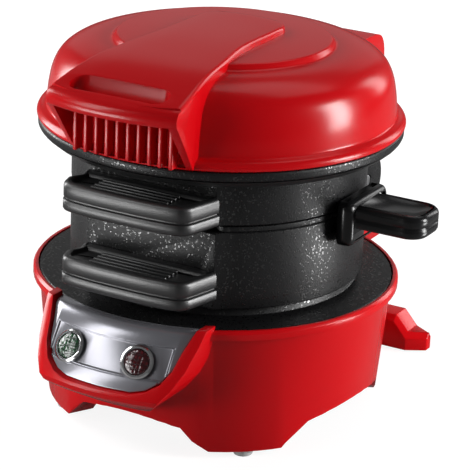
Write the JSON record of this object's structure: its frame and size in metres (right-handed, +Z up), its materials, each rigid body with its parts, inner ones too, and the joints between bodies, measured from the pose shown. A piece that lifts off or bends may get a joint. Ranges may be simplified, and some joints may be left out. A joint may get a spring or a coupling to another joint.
{
  "type": "hamburger maker",
  "caption": "Electric hamburger maker: hinged lid, stacked cooking rings with front handles and a swing-out egg plate over a base with lamps.",
  "frame": {"origin": "middle of the footprint, on the floor under the foot pads", "axes": "+Z up, the user stands at -Y, +X to the user's right; lid, rings and egg plate closed"},
  "size_m": [0.1678, 0.188, 0.1549],
  "materials": {
    "red_gloss": "gloss red",
    "black_plastic": "satin black",
    "black_metal": "black coating with a fine grain",
    "satin_grey": "satin grey",
    "bare_steel": "bare",
    "bright_metal": "bright",
    "dark_coating": "dark non-stick coating",
    "green_lens": "green lamp lens",
    "red_lens": "dark red lamp lens",
    "clear_glass": "clear",
    "pale_rubber": "pale grey",
    "white_ceramic": "plain"
  },
  "bodies": {
    "base": {"base_shell": "red_gloss", "base_deck": "black_metal", "rear_foot": "red_gloss", "bottom_cover": "black_plastic", "control_panel": "satin_grey", "power_lamp_lens": "green_lens", "power_lamp_bezel": "bright_metal", "power_lamp_bulb": "clear_glass", "ready_lamp_lens": "red_lens", "ready_lamp_bezel": "bright_metal", "ready_lamp_bulb": "clear_glass", "lower_heating_plate": "dark_coating", "lower_heating_element": "bare_steel", "heat_shield": "bare_steel", "thermostat": "white_ceramic", "thermal_fuse": "white_ceramic", "terminal_block": "white_ceramic", "foot_pad_front_left": "pale_rubber", "foot_pad_front_right": "pale_rubber", "foot_pad_rear_right": "pale_rubber", "foot_pad_rear_left": "pale_rubber", "base_screw_1": "bare_steel", "base_screw_2": "bare_steel", "base_screw_3": "bare_steel", "rear_foot_screw_left": "bare_steel", "rear_foot_screw_right": "bare_steel", "hinge_pin": "bare_steel"},
    "lower_ring": {"lower_ring_shell": "black_metal", "lower_ring_liner": "bare_steel", "lower_ring_handle": "black_plastic", "lower_ring_handle_screw_left": "bare_steel", "lower_ring_handle_screw_right": "bare_steel"},
    "upper_ring": {"upper_ring_shell": "black_metal", "upper_ring_liner": "bare_steel", "upper_ring_handle": "black_plastic", "upper_ring_handle_screw_left": "bare_steel", "upper_ring_handle_screw_right": "bare_steel", "egg_plate_pivot_pin": "bare_steel"},
    "egg_plate": {"egg_plate": "bare_steel", "egg_plate_handle": "black_plastic", "egg_plate_handle_screw_front": "bare_steel", "egg_plate_handle_screw_rear": "bare_steel"},
    "lid": {"lid_shell": "red_gloss", "lid_handle": "red_gloss", "lid_handle_insert": "black_plastic", "lid_bezel": "black_plastic", "upper_heating_plate": "dark_coating", "upper_heating_element": "bare_steel", "upper_heat_shield": "bare_steel", "lid_screw_1": "bare_steel", "lid_screw_2": "bare_steel", "lid_screw_3": "bare_steel"}
  },
  "joints": [
    {"name": "lower_ring_hinge", "type": "hinge", "parent": "base", "child": "lower_ring", "pos_m": [-0.0101, 0.0788, 0.074], "axis": [-1, 0, 0], "range_deg": [0, 20]},
    {"name": "upper_ring_hinge", "type": "hinge", "parent": "lower_ring", "child": "upper_ring", "pos_m": [-0.0101, 0.0788, 0.074], "axis": [-1, 0, 0], "range_deg": [0, 35]},
    {"name": "lid_hinge", "type": "hinge", "parent": "upper_ring", "child": "lid", "pos_m": [-0.0101, 0.0788, 0.074], "axis": [-1, 0, 0], "range_deg": [0, 95]},
    {"name": "egg_plate_swing", "type": "hinge", "parent": "upper_ring", "child": "egg_plate", "pos_m": [0.01931, -0.04807, 0.0905], "axis": [0, 0, -1], "range_deg": [0, 128]}
  ]
}
